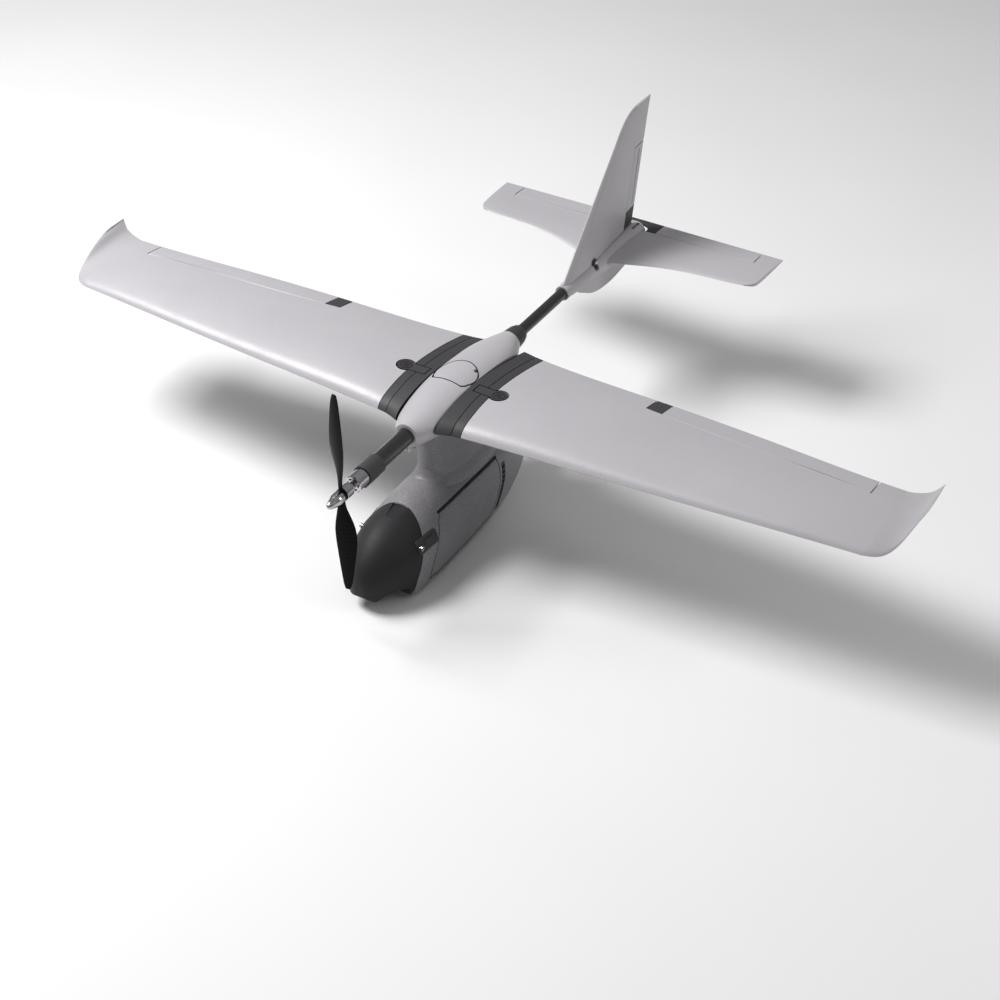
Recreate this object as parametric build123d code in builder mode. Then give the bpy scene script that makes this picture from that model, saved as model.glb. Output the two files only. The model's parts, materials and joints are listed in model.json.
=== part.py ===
from build123d import *
from math import cos, pi, sqrt
import os

# Fixed-wing survey drone, millimetres.
# Axes: +X to the aircraft's left wing tip, -Y to the nose, +Z up.
# Places inside the model are given as (butt line x, station, water line):
# stations run aft from the wing panel's root leading edge and water lines up from the boom axis.
# The origin of the model is the bottom centre of its bounding box.

os.makedirs("parts", exist_ok=True)

# ---------------------------------------------------------------- driving dimensions
origin_station = 302.0      # station of the model's origin
origin_water = -290.0       # water line of the model's origin: the belly skid's underside

half_span = 900.0
center_half_width = 41.0    # centre body, out to the dark centre ribs
panel_joint_x = 70.0        # where a wing panel meets the centre section
root_rib_x = 88.5           # outer face of the panel's own dark root rib
fit_gap = 0.05              # radial clearance of a running fit
skin_gap = 1.4              # shut line between a moving surface and its surround
end_gap = 2.2               # shut line at the ends of an aileron, elevator or rudder
joint_gap = 1.5             # shut line between the centre body, the dark ribs and the panels

spar_station = 95.0
spar_water = 14.0
spar_radius = 8.0
spar_half_length = 330.0

front_boom_radius = 16.0
rear_boom_radius = 11.5
boom_mouth = -37.6          # front end of the centre body
center_tail = 324.0         # rear end of the centre body
tail_start = 531.0          # front end of the tail body

motor_radius = 16.5
prop_station = -243.0
prop_radius = 211.0

shell = 2.6                 # wall of the pod and the nose cover
belly = -286.0              # water line of the pod's underside
seam_station = -62.8        # nose cover's seam at the top centre line
seam_water = -137.3
seam_slope = 0.5            # station gained for each unit of water line along the seam


def at(x, station, water):
    """A point of the model from its butt line, station and water line."""
    return (x, station - origin_station, water - origin_water)


def cross(station):
    """Plane across the aircraft: local x is the butt line and local y the water line."""
    return Plane(origin=at(0, station, 0), x_dir=(1, 0, 0), z_dir=(0, -1, 0))


def side(x):
    """Plane along the aircraft: local x is the station and local y the water line."""
    return Plane(origin=at(x, 0, 0), x_dir=(0, 1, 0), z_dir=(1, 0, 0))


def plan(water):
    """Level plane: local x is the butt line and local y the station."""
    return Plane(origin=at(0, 0, water), x_dir=(1, 0, 0), z_dir=(0, 0, 1))


def axis_plane(start, end):
    """Plane at start whose normal points at end."""
    span = Vector(*at(*end)) - Vector(*at(*start))
    return Plane(origin=at(*start), z_dir=span.normalized())


def write(piece, name):
    piece.label = name
    export_step(piece, f"parts/{name}.step")


def write_pair(piece, name):
    """Write the left-hand piece and its mirror image on the right."""
    with BuildPart() as other:
        mirror(piece, about=Plane.YZ)
    write(piece, f"{name}_left")
    write(other.part, f"{name}_right")


def both_sides(piece):
    """One node that holds a piece and its mirror image."""
    with BuildPart() as pair:
        add(piece)
        mirror(piece, about=Plane.YZ)
    return pair.part


# ---------------------------------------------------------------- aerofoils
foil_steps = 9
trailing_edge = 0.7         # half the thickness of a trailing edge


def foil_half_thickness(t, thickness):
    shape = 0.2969 * sqrt(t) - 0.126 * t - 0.3516 * t**2 + 0.2843 * t**3 - 0.1036 * t**4
    return 5 * thickness * shape


def foil_camber(t, camber):
    peak = 0.4
    if t < peak:
        return camber / peak**2 * (2 * peak * t - t * t)
    return camber / (1 - peak) ** 2 * (1 - 2 * peak + 2 * peak * t - t * t)


def foil_outline(nose, tail, thickness, camber=0.0):
    """Points round an aerofoil, from the upper trailing edge over the nose to the lower one."""
    nose = Vector(*nose)
    chord = Vector(*tail) - nose
    lift = Vector(-chord.Y, chord.X)
    rim = trailing_edge / chord.length
    steps = [(1 - cos(pi * i / foil_steps)) / 2 for i in range(foil_steps + 1)]
    points = []
    for surface in (1, -1):
        for t in reversed(steps) if surface > 0 else steps[1:]:
            height = foil_camber(t, camber)
            height += surface * (foil_half_thickness(t, thickness) + rim * t)
            point = nose + chord * t + lift * height
            points.append((point.X, point.Y))
    return points


def foil_section(plane, nose, tail, thickness, camber=0.0):
    points = foil_outline(nose, tail, thickness, camber)
    with BuildSketch(plane) as section:
        with BuildLine():
            Spline(*points[:foil_steps + 1])
            Spline(*points[foil_steps:])
            Line(points[-1], points[0])
        make_face()
    return section.sketch


# ---------------------------------------------------------------- wing
# x, then station and water line of the leading edge and of the trailing edge, thickness, camber
root_sections = (
    (center_half_width, -10.7, 4.0, 310.0, -1.5, 0.128, 0.036),
    (panel_joint_x, 0.0, 4.0, 304.8, -1.5, 0.130, 0.035),
    (root_rib_x, 2.5, 4.0, 302.4, -1.3, 0.130, 0.034),
)
panel_sections = (
    root_sections[-1],
    (374.0, 23.0, 4.6, 286.0, 3.2, 0.125, 0.032),
    (600.0, 39.0, 5.0, 267.0, 9.5, 0.120, 0.030),
    (790.0, 53.5, 5.4, 247.6, 15.3, 0.112, 0.028),
    (836.0, 57.5, 4.5, 247.0, 15.0, 0.100, 0.024),
    (858.0, 66.0, 4.5, 248.5, 17.0, 0.085, 0.018),
    (875.0, 84.0, 8.0, 250.0, 23.0, 0.065, 0.012),
    (888.0, 124.0, 21.0, 253.0, 31.5, 0.055, 0.008),
    (896.0, 165.0, 33.0, 258.0, 39.5, 0.050, 0.0),
    (half_span, 205.0, 41.5, 261.0, 44.3, 0.055, 0.0),
)


def wing_section(row):
    x, nose_station, nose_water, tail_station, tail_water, thickness, camber = row
    return foil_section(side(x), (nose_station, nose_water), (tail_station, tail_water),
                        thickness, camber)




def seam_step(x):
    """The shut line on the outboard side of a joint."""
    with BuildPart() as step:
        with Locations(at(x + joint_gap / 2, 150, 0)):
            Box(joint_gap, 360, 90)
    return step.part


with BuildPart() as center_rib_block:
    loft([wing_section(row) for row in root_sections[:2]])

with BuildPart() as root_rib_block:
    loft([wing_section(row) for row in root_sections[1:]])

with BuildPart() as panel_block:
    loft([wing_section(row) for row in panel_sections[:5]])
    loft([wing_section(row) for row in panel_sections[4:]])

# Aileron hinge line, at mid-thickness.
aileron_inner = 341.0
drive_outer = 373.6
aileron_outer = 790.0
hinge_in = (aileron_inner, 244.3, 6.8)
hinge_out = (aileron_outer, 205.8, 16.4)
hinge_radius_in = 7.1


def aileron_zone(grow, start_x, end_x):
    """Space of an aileron between two butt lines: all aft of its hinge line, and its round nose."""
    slope = (hinge_out[1] - hinge_in[1]) / (hinge_out[0] - hinge_in[0])
    start_y = hinge_in[1] + slope * (start_x - aileron_inner)
    end_y = hinge_in[1] + slope * (end_x - aileron_inner)
    with BuildPart() as zone:
        with BuildSketch(plan(-60)):
            with BuildLine():
                Polyline((start_x, start_y), (end_x, end_y), (end_x, 400), (start_x, 400), close=True)
            make_face()
        extrude(amount=140)
        with BuildSketch(side(start_x)):
            with Locations((start_y, hinge_in[2] + 0.0214 * (start_x - aileron_inner))):
                Circle(hinge_radius_in - 0.0022 * (start_x - aileron_inner) + grow)
        with BuildSketch(side(end_x)):
            with Locations((end_y, hinge_in[2] + 0.0214 * (end_x - aileron_inner))):
                Circle(hinge_radius_in - 0.0022 * (end_x - aileron_inner) + grow)
        loft()
    return zone.part


servo_axis = axis_plane(hinge_in, hinge_out)
servo_center = (322.0, 236.0, 7.2)
servo_size = (24.0, 25.0, 8.0)
servo_shaft_radius = 2.5

# Wing latch: a rocker whose tongue crosses the joint and whose round pad is pressed down.
latch_tongue_inner = 54.0
latch_station = 117.0
latch_width = 22.0
latch_pad_x = 101.0
latch_pad_radius = 16.0
latch_bottom = 25.0
latch_pivot = (84.0, 117.0, 28.0)
latch_pin_radius = 1.5
latch_pin_half = 15.0


def latch_outline(grow, floor):
    """Column over the latch's outline, from a water line up through the skin."""
    with BuildPart() as column:
        with BuildSketch(plan(floor)):
            with Locations(((latch_tongue_inner + latch_pad_x) / 2, latch_station)):
                Rectangle(latch_pad_x - latch_tongue_inner + 2 * grow, latch_width + 2 * grow)
            with Locations((latch_pad_x, latch_station)):
                Circle(latch_pad_radius + 1.6 * grow)
        extrude(amount=60)
    return column.part


latch_well = latch_outline(2.1, 20.0)

with BuildPart() as spar_hole:
    with BuildSketch(side(-half_span)):
        with Locations((spar_station, spar_water)):
            Circle(spar_radius)
    extrude(amount=half_span + spar_half_length)

rear_pin_station = 235.0
rear_pin_water = 7.0
rear_pin_radius = 3.0
with BuildPart() as rear_pin_hole:
    with BuildSketch(side(-110)):
        with Locations((rear_pin_station, rear_pin_water)):
            Circle(rear_pin_radius)
    extrude(amount=220)

with BuildPart() as latch_pin:
    with BuildSketch(cross(latch_station - latch_pin_half)):
        with Locations((latch_pivot[0], latch_pivot[2])):
            Circle(latch_pin_radius)
    extrude(amount=-2 * latch_pin_half)

with BuildPart() as servo_block:
    with Locations(at(*servo_center)):
        Box(*servo_size)

with BuildPart() as servo_well:
    with Locations(at(servo_center[0], servo_center[1], servo_center[2] - 30)):
        Box(servo_size[0] + 0.6, servo_size[1] + 0.6, servo_size[2] + 60)

with BuildPart() as aileron_pin:
    with BuildSketch(axis_plane(hinge_out, hinge_in)):
        Circle(1.5)
    extrude(amount=12, both=True)

with BuildPart() as wing_panel:
    add(panel_block.part)
    add(aileron_zone(skin_gap, aileron_inner - end_gap, aileron_outer + end_gap), mode=Mode.SUBTRACT)
    add(servo_well.part, mode=Mode.SUBTRACT)
    add(aileron_pin.part, mode=Mode.SUBTRACT)
    add(spar_hole.part, mode=Mode.SUBTRACT)
    add(rear_pin_hole.part, mode=Mode.SUBTRACT)
    add(latch_well, mode=Mode.SUBTRACT)
    add(seam_step(root_rib_x), mode=Mode.SUBTRACT)
    with BuildSketch(servo_axis):
        Circle(servo_shaft_radius + 0.5)
    extrude(amount=-14, mode=Mode.SUBTRACT)
write_pair(wing_panel.part, "wing_panel")

with BuildPart() as servo_cover:
    add(panel_block.part)
    with Locations(at(servo_center[0], servo_center[1], servo_center[2] - 34 - servo_size[2] / 2)):
        Box(servo_size[0], servo_size[1], 68 - 0.4, mode=Mode.INTERSECT)
write(both_sides(servo_cover.part), "aileron_servo_covers")

with BuildPart() as aileron_servo:
    add(servo_block.part)
    with BuildSketch(servo_axis):
        Circle(servo_shaft_radius + fit_gap)
    extrude(amount=-14, mode=Mode.SUBTRACT)
write(both_sides(aileron_servo.part), "aileron_servos")

with BuildPart() as aileron_drive:
    add(panel_block.part)
    add(aileron_zone(-0.1, aileron_inner, drive_outer), mode=Mode.INTERSECT)
    with BuildSketch(servo_axis.offset(2)):
        Circle(servo_shaft_radius)
    extrude(amount=-15)
write_pair(aileron_drive.part, "aileron_drive")

with BuildPart() as aileron:
    add(panel_block.part)
    add(aileron_zone(-0.1, drive_outer, aileron_outer), mode=Mode.INTERSECT)
    with BuildSketch(axis_plane(hinge_out, hinge_in)):
        Circle(1.5 + fit_gap)
    extrude(amount=13, both=True, mode=Mode.SUBTRACT)
write_pair(aileron.part, "aileron")

with BuildPart() as wing_root_rib:
    add(root_rib_block.part)
    add(spar_hole.part, mode=Mode.SUBTRACT)
    add(rear_pin_hole.part, mode=Mode.SUBTRACT)
    add(latch_well, mode=Mode.SUBTRACT)
    add(latch_pin.part, mode=Mode.SUBTRACT)
    add(seam_step(panel_joint_x), mode=Mode.SUBTRACT)
write_pair(wing_root_rib.part, "wing_root_rib")

with BuildPart() as center_rib:
    add(center_rib_block.part)
    add(spar_hole.part, mode=Mode.SUBTRACT)
    add(rear_pin_hole.part, mode=Mode.SUBTRACT)
    add(latch_well, mode=Mode.SUBTRACT)
    add(seam_step(center_half_width), mode=Mode.SUBTRACT)
write_pair(center_rib.part, "center_rib")

with BuildPart() as wing_latch:
    add(center_rib_block.part)
    add(root_rib_block.part)
    add(panel_block.part)
    add(latch_outline(0, latch_bottom), mode=Mode.INTERSECT)
    with BuildSketch(cross(latch_station - latch_pin_half)):
        with Locations((latch_pivot[0], latch_pivot[2])):
            Circle(latch_pin_radius + fit_gap)
    extrude(amount=-2 * latch_pin_half, mode=Mode.SUBTRACT)
write_pair(wing_latch.part, "wing_latch")

with BuildPart() as wing_spar:
    with BuildSketch(side(-spar_half_length)):
        with Locations((spar_station, spar_water)):
            Circle(spar_radius)
            Circle(spar_radius - 1.5, mode=Mode.SUBTRACT)
    extrude(amount=2 * spar_half_length)
write(wing_spar.part, "wing_spar")

with BuildPart() as rear_pins:
    add(rear_pin_hole.part)
write(rear_pins.part, "wing_rear_pin")

# ---------------------------------------------------------------- centre body
# station, half-width of the dome, top and bottom water lines
center_sections = (
    (boom_mouth, 24.0, 24.0, -24.0),
    (-12.0, 38.0, 28.0, -27.0),
    (25.0, 50.0, 35.0, -29.0),
    (105.0, 62.0, 43.0, -30.0),
    (190.0, 57.0, 39.5, -30.0),
    (265.0, 47.0, 31.5, -27.0),
    (302.0, 34.0, 26.0, -24.5),
    (center_tail, 24.0, 23.5, -22.5),
)


def dome_section(station, half_width, top, bottom, inset=0.0):
    """Two half ellipses that meet on the boom axis's water line."""
    with BuildSketch(cross(station)) as section:
        with BuildLine():
            EllipticalCenterArc((0, 0), half_width - inset, top - inset, start_angle=0, arc_size=180)
            EllipticalCenterArc((0, 0), half_width - inset, -bottom - inset, start_angle=180, arc_size=180)
        make_face()
    return section.sketch


hatch_front = 101.0
hatch_back = 172.0
hatch_half_width = 35.0
hatch_floor = 30.0


def hatch_outline(grow, floor):
    """Column over the hatch: straight in front and rounded behind."""
    front = hatch_front - grow
    back = hatch_back + grow
    half = hatch_half_width + grow
    with BuildPart() as column:
        with BuildSketch(plan(floor)):
            with BuildLine():
                Line((half - 8, front), (8 - half, front))
                RadiusArc((8 - half, front), (-half, front + 14), 18)
                ThreePointArc((-half, front + 14), (0, back), (half, front + 14))
                RadiusArc((half, front + 14), (half - 8, front), 18)
            make_face()
        extrude(amount=60)
    return column.part


with BuildPart() as center_outer:
    loft([dome_section(*row) for row in center_sections])
    with BuildSketch(plan(-60)):
        with Locations((0, 150)):
            Rectangle(2 * center_half_width, 500)
    extrude(amount=140, mode=Mode.INTERSECT)

# Battery and electronics well under the hatch.
well_front = 112.0
well_back = 160.0
well_half_width = 22.0
well_floor = -16.0

front_boom_end = 68.0
rear_boom_start = 246.0
clamp_slot = 2.0

with BuildPart() as center_body:
    add(center_outer.part)
    with BuildSketch(cross(boom_mouth)):
        with Locations((0, -25)):
            RectangleRounded(14, 20, 3)
    extrude(amount=-24)
    with BuildSketch(cross(boom_mouth)):
        Circle(front_boom_radius)
    extrude(amount=boom_mouth - front_boom_end, mode=Mode.SUBTRACT)
    with BuildSketch(cross(boom_mouth)):
        with Locations((0, -26)):
            Rectangle(clamp_slot, 24)
    extrude(amount=-26, mode=Mode.SUBTRACT)
    with BuildSketch(cross(rear_boom_start)):
        Circle(rear_boom_radius)
    extrude(amount=rear_boom_start - center_tail, mode=Mode.SUBTRACT)
    with BuildSketch(plan(well_floor)):
        with Locations((0, (well_front + well_back) / 2)):
            RectangleRounded(2 * well_half_width, well_back - well_front, 5)
    extrude(amount=80, mode=Mode.SUBTRACT)
    add(hatch_outline(2.8, hatch_floor), mode=Mode.SUBTRACT)
    with BuildSketch(plan(20)):
        with Locations((27, 158)):
            RectangleRounded(9, 12, 4)
    extrude(amount=20, mode=Mode.SUBTRACT)
    add(spar_hole.part, mode=Mode.SUBTRACT)
    mirror(spar_hole.part, about=Plane.YZ, mode=Mode.SUBTRACT)
    add(rear_pin_hole.part, mode=Mode.SUBTRACT)
write(center_body.part, "center_body")

# The hatch lifts straight off its ledge, by a finger in the notch at its back corner.
with BuildPart() as top_hatch:
    add(center_outer.part)
    add(hatch_outline(0, hatch_floor + 0.2), mode=Mode.INTERSECT)
    with BuildSketch(plan(hatch_floor)):
        with Locations((27, 158)):
            RectangleRounded(7, 10, 3)
    extrude(amount=40, mode=Mode.SUBTRACT)
write(top_hatch.part, "top_hatch")

with BuildPart() as gps_module:
    with BuildSketch(plan(well_floor)):
        with Locations((0, (well_front + well_back) / 2)):
            RectangleRounded(38, 38, 4)
    extrude(amount=12)
    chamfer(gps_module.faces().sort_by(Axis.Z)[-1].edges(), 1.5)
write(gps_module.part, "gps_module")

# ---------------------------------------------------------------- booms
motor_mount_front = -178.0
motor_mount_back = -132.0
front_boom_start = -160.0


def tube(start, end, outer, inner):
    """Round tube on the boom axis."""
    with BuildPart() as pipe:
        with BuildSketch(cross(start)):
            Circle(outer)
            Circle(inner, mode=Mode.SUBTRACT)
        extrude(amount=start - end)
    return pipe.part


write(tube(front_boom_start, front_boom_end, front_boom_radius, front_boom_radius - 1.5), "front_boom")
write(tube(rear_boom_start, 640.0, rear_boom_radius, rear_boom_radius - 1.3), "rear_boom")

collar_back = 362.0
with BuildPart() as boom_collar:
    with BuildSketch(cross(center_tail)):
        Circle(23)
    with BuildSketch(cross(collar_back - 10)):
        Circle(20)
    loft()
    with BuildSketch(cross(collar_back - 10)):
        Circle(20)
    with BuildSketch(cross(collar_back)):
        Circle(17)
    loft()
    with BuildSketch(cross(center_tail + 6)):
        with Locations((0, -20)):
            RectangleRounded(15, 14, 3)
    extrude(amount=-22)
    with BuildSketch(cross(center_tail)):
        Circle(rear_boom_radius)
        with Locations((0, -20)):
            Rectangle(clamp_slot, 24)
    extrude(amount=-40, mode=Mode.SUBTRACT)
write(boom_collar.part, "boom_collar")

# ---------------------------------------------------------------- motor and propeller
bell_front = -207.0
bell_back = -178.6
shaft_radius = 2.5

with BuildPart() as motor_mount:
    with BuildSketch(cross(motor_mount_front)):
        Circle(19)
        with Locations((0, -15)):
            Rectangle(12, 18)
    extrude(amount=motor_mount_front - motor_mount_back)
    chamfer(motor_mount.faces().sort_by(Axis.Y)[-1].edges().filter_by(GeomType.CIRCLE), 1.2)
    with BuildSketch(side(-8)):
        with BuildLine():
            Polyline((-150, -30), (-120, -30), (-120, -16), close=True)
        make_face()
    extrude(amount=16, mode=Mode.SUBTRACT)
    with BuildSketch(cross(front_boom_start)):
        Circle(front_boom_radius)
    extrude(amount=front_boom_start - motor_mount_back, mode=Mode.SUBTRACT)
    with BuildSketch(cross(motor_mount_front)):
        Circle(5)
    extrude(amount=-30, mode=Mode.SUBTRACT)
write(motor_mount.part, "motor_mount")

with BuildPart() as motor_stator:
    with BuildSketch(cross(motor_mount_front)):
        Circle(12)
        Circle(5, mode=Mode.SUBTRACT)
    extrude(amount=5)
    with BuildSketch(cross(motor_mount_front - 5)):
        Circle(7)
        for turn in range(12):
            with Locations(Rot(0, 0, 30 * turn)):
                with Locations((9, 0)):
                    Rectangle(7, 2.6)
        Circle(5, mode=Mode.SUBTRACT)
    extrude(amount=16)
write(motor_stator.part, "motor_stator")

with BuildPart() as motor_bearings:
    for start in (motor_mount_front, motor_mount_front - 16.0):
        with BuildSketch(cross(start)):
            Circle(5)
            Circle(shaft_radius + fit_gap, mode=Mode.SUBTRACT)
        extrude(amount=5)
write(motor_bearings.part, "motor_bearings")

with BuildPart() as motor_bell:
    with BuildSketch(cross(bell_back)):
        Circle(motor_radius)
        Circle(motor_radius - 2, mode=Mode.SUBTRACT)
    extrude(amount=bell_back - bell_front)
    with BuildSketch(cross(bell_front + 3)):
        Circle(motor_radius)
        Circle(shaft_radius, mode=Mode.SUBTRACT)
        with PolarLocations(10.5, 6):
            SlotOverall(7, 3.4, rotation=90, mode=Mode.SUBTRACT)
    extrude(amount=3)
    chamfer(motor_bell.faces().sort_by(Axis.Y)[0].edges().sort_by(SortBy.LENGTH)[-1], 1.4)
write(motor_bell.part, "motor_bell")

adapter_front = prop_station + 4.5
with BuildPart() as prop_adapter:
    with BuildSketch(cross(bell_front)):
        Circle(7)
        Circle(shaft_radius, mode=Mode.SUBTRACT)
    extrude(amount=14)
    with BuildSketch(cross(bell_front - 14)):
        Circle(12.5)
        Circle(shaft_radius, mode=Mode.SUBTRACT)
    extrude(amount=bell_front - 14 - adapter_front)
    chamfer(prop_adapter.faces().sort_by(Axis.Y)[0].edges().sort_by(SortBy.LENGTH)[-1], 0.8)
write(prop_adapter.part, "prop_adapter")

spinner_tip = -284.0
with BuildPart() as motor_shaft:
    with BuildSketch(cross(motor_mount_front + 4)):
        Circle(shaft_radius)
    extrude(amount=motor_mount_front + 4 - (prop_station - 14))
write(motor_shaft.part, "motor_shaft")

# distance out from the hub, chord, share of the chord ahead of the blade axis, pitch, thickness
blade_sections = (
    (8.0, 15.0, 0.50, 10.0, 4.8),
    (22.0, 15.0, 0.50, 28.0, 6.5),
    (45.0, 25.0, 0.44, 30.0, 5.2),
    (70.0, 36.0, 0.40, 24.0, 4.2),
    (96.0, 39.0, 0.38, 19.0, 3.4),
    (130.0, 34.0, 0.38, 14.5, 2.7),
    (165.0, 26.0, 0.39, 11.5, 2.1),
    (195.0, 18.0, 0.41, 9.5, 1.6),
    (prop_radius, 9.0, 0.45, 8.5, 1.0),
)


def blade_section(reach, chord, ahead, pitch, thickness):
    """Lens section of the upper blade; its leading edge is on +X and ahead of the disc."""
    place = Plane(origin=at(0, prop_station, reach), x_dir=(1, 0, 0), z_dir=(0, 0, 1))
    place = place.rotated((0, 0, -pitch))
    lead = (chord * ahead, 0)
    trail = (-chord * (1 - ahead), 0)
    crown = (chord * (ahead - 0.42), -0.62 * thickness)
    hollow = (chord * (ahead - 0.42), 0.38 * thickness)
    with BuildSketch(place) as section:
        with BuildLine():
            Spline(lead, crown, trail)
            Spline(trail, hollow, lead)
        make_face()
    return section.sketch


with BuildPart() as blade:
    loft([blade_section(*row) for row in blade_sections])

with BuildPart() as propeller:
    with BuildSketch(cross(adapter_front)):
        Circle(12)
    extrude(amount=9)
    add(blade.part)
    add(blade.part.rotate(Axis(at(0, prop_station, 0), (0, 1, 0)), 180))
    with BuildSketch(cross(0)):
        Circle(shaft_radius)
    extrude(amount=400, mode=Mode.SUBTRACT)
write(propeller.part, "propeller")

spinner_base = adapter_front - 9.0
with BuildPart() as spinner:
    with BuildSketch(side(0)):
        with BuildLine():
            Line((spinner_base, 0), (spinner_base, 12.5))
            Line((spinner_base, 12.5), (spinner_base - 7, 12.5))
            Spline((spinner_base - 7, 12.5), (spinner_base - 20, 9.6), (spinner_tip + 1.2, 3.4),
                   (spinner_tip, 0), tangents=((-1, 0), (0, -1)))
            Line((spinner_tip, 0), (spinner_base, 0))
        make_face()
    revolve(axis=Axis(at(0, 0, 0), (0, 1, 0)))
    with BuildSketch(cross(spinner_base)):
        Circle(shaft_radius)
    extrude(amount=10, mode=Mode.SUBTRACT)
write(spinner.part, "spinner")

# ---------------------------------------------------------------- pod
# station, half-width, water lines of the top, of the widest place and of the underside
nose_sections = (
    (-209.0, 5.0, -232.0, -240.0, -248.0),
    (-203.0, 23.0, -206.0, -239.0, -262.0),
    (-185.0, 41.0, -183.0, -238.0, -271.0),
    (-155.0, 59.0, -161.0, -236.0, -279.0),
    (-115.0, 69.5, -145.5, -233.0, -284.0),
    (-60.0, 72.0, -136.0, -230.0, belly),
)
pod_sections = (
    nose_sections[-1],
    (20.0, 72.0, -128.0, -228.0, belly),
    (105.0, 72.0, -127.0, -227.0, -284.0),
    (180.0, 71.0, -128.0, -222.0, -274.0),
    (250.0, 64.0, -131.0, -212.0, -252.0),
    (315.0, 47.0, -138.0, -194.0, -221.0),
    (362.0, 22.0, -151.0, -174.0, -189.0),
)

pod_cap = (370.0, 14.0, -157.0, -173.5, -183.0)


def pod_section(station, half_width, top, middle, bottom, inset=0.0):
    """Half ellipse over nearly upright sides, rounded corners and a flat underside."""
    wide = half_width - inset
    foot = 0.985 * wide
    low = bottom + inset
    corner = 0.2 * min(wide, middle - low)
    with BuildSketch(cross(station)) as section:
        with BuildLine():
            EllipticalCenterArc((0, middle), wide, top - inset - middle, start_angle=0, arc_size=180)
            for flip in (-1, 1):
                shin = (flip * foot, low + corner)
                Bezier((flip * wide, middle), (flip * wide, (middle + low + corner) / 2), shin)
                Bezier(shin, (flip * foot, low), (flip * (foot - corner), low))
            Line((corner - foot, low), (foot - corner, low))
        make_face()
    return section.sketch


def pod_solid(inset):
    """The pod and nose as one solid, set in (or, if negative, out) by inset."""
    first = 1 if inset > 1 else 0
    with BuildPart() as solid:
        loft([pod_section(*row, inset) for row in nose_sections[first:]])
        loft([pod_section(*row, inset) for row in pod_sections])
        if inset > 1:
            with Locations(at(0, pod_sections[-1][0], -170)):
                Box(200, 2 * inset, 200, mode=Mode.SUBTRACT)
        else:
            loft([pod_section(*row, inset) for row in (pod_sections[-1], pod_cap)])
    return solid.part


seam_plane = Plane(origin=at(0, seam_station, seam_water), x_dir=(1, 0, 0), z_dir=(0, -1, seam_slope))


def ahead_of_seam(gap):
    """Everything ahead of the nose cover's seam; a positive gap moves the limit forward."""
    with BuildPart() as block:
        with BuildSketch(seam_plane.offset(gap)):
            Rectangle(400, 500)
        extrude(amount=400)
    return block.part


pod_outer = pod_solid(0)
pod_inner = pod_solid(shell)
pod_liner = pod_solid(shell + 1.6)
nose_space = ahead_of_seam(0.4)
nose_half = ahead_of_seam(0)

# Access panel in the pod's side, and the louvred vent behind it.
panel_top = -166.5
panel_corners = ((-80, -272), (60, -274), (134, -266), (147, -256), (161, -235), (171, -208),
                 (177, -182), (177, panel_top), (-21, panel_top), (-32, -176), (-40, -192),
                 (-54, -219), (-70, -251))

slot_start = -26.0
slot_end = 181.0


def panel_column(grow):
    """Column along X over the access panel's outline."""
    with BuildPart() as column:
        with BuildSketch(side(20)):
            with BuildLine():
                Polyline(*panel_corners, close=True)
            make_face()
            if grow:
                offset(amount=grow, kind=Kind.INTERSECTION)
        extrude(amount=80)
    return column.part


def panel_opening():
    """The panel's hole in the shell, with a deep finger gap along the top."""
    with BuildPart() as hole:
        add(panel_column(2.2))
        with BuildSketch(side(20)):
            with Locations(((slot_start + slot_end) / 2, panel_top + 3.5)):
                RectangleRounded(slot_end - slot_start, 6, 2.5)
        extrude(amount=80)
    return hole.part


vent_rows = 10
vent_top = (192.0, -180.0)
vent_bend = (181.0, -236.0)
vent_foot = (154.0, -265.0)
vent_width = 13.0


def vent_point(t):
    """Point on the vent's centre line, from 0 at its top to 1 at its foot."""
    first, second, third = (1 - t) ** 2, 2 * t * (1 - t), t * t
    return (first * vent_top[0] + second * vent_bend[0] + third * vent_foot[0],
            first * vent_top[1] + second * vent_bend[1] + third * vent_foot[1])


def vent_column(width, start=0.0, end=1.0):
    """Column along X over the vent's band."""
    low = vent_point(end)
    high = vent_point(start)
    middle = vent_point((start + end) / 2)
    half = width / 2
    with BuildPart() as column:
        with BuildSketch(side(20)):
            with BuildLine():
                Line((high[0] - half, high[1]), (high[0] + half, high[1]))
                ThreePointArc((high[0] + half, high[1]), (middle[0] + half, middle[1]),
                              (low[0] + half, low[1]))
                Line((low[0] + half, low[1]), (low[0] - half, low[1]))
                ThreePointArc((low[0] - half, low[1]), (middle[0] - half, middle[1]),
                              (high[0] - half, high[1]))
            make_face()
        extrude(amount=80)
    return column.part


# Nose latch: a fixed plate over the seam, a push button in it and a screw at its front end.
latch_plate_center = (-78.0, -190.5)
latch_plate_size = (58.0, 27.0)
latch_button_center = (-72.0, -190.5)
latch_button_size = (32.0, 13.0)
latch_screw_center = (-99.5, -190.5)


def latch_column(center, length, height, radius, start=40.0):
    with BuildPart() as column:
        with BuildSketch(side(start)):
            with Locations(center):
                RectangleRounded(length, height, radius)
        extrude(amount=60)
    return column.part


plate_hole = latch_column(latch_plate_center, latch_plate_size[0] + 0.4, latch_plate_size[1] + 0.4, 6.2)
button_hole = latch_column(latch_button_center, latch_button_size[0] + 1.0, latch_button_size[1] + 1.0, 6.9)

# The pylon stands between the pod and the centre body, with a concave flare at its foot.
pylon_outline = ((0, 18), (22, 27), (33, 58), (38.5, 130), (32, 225), (13, 300), (0, 322))
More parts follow.
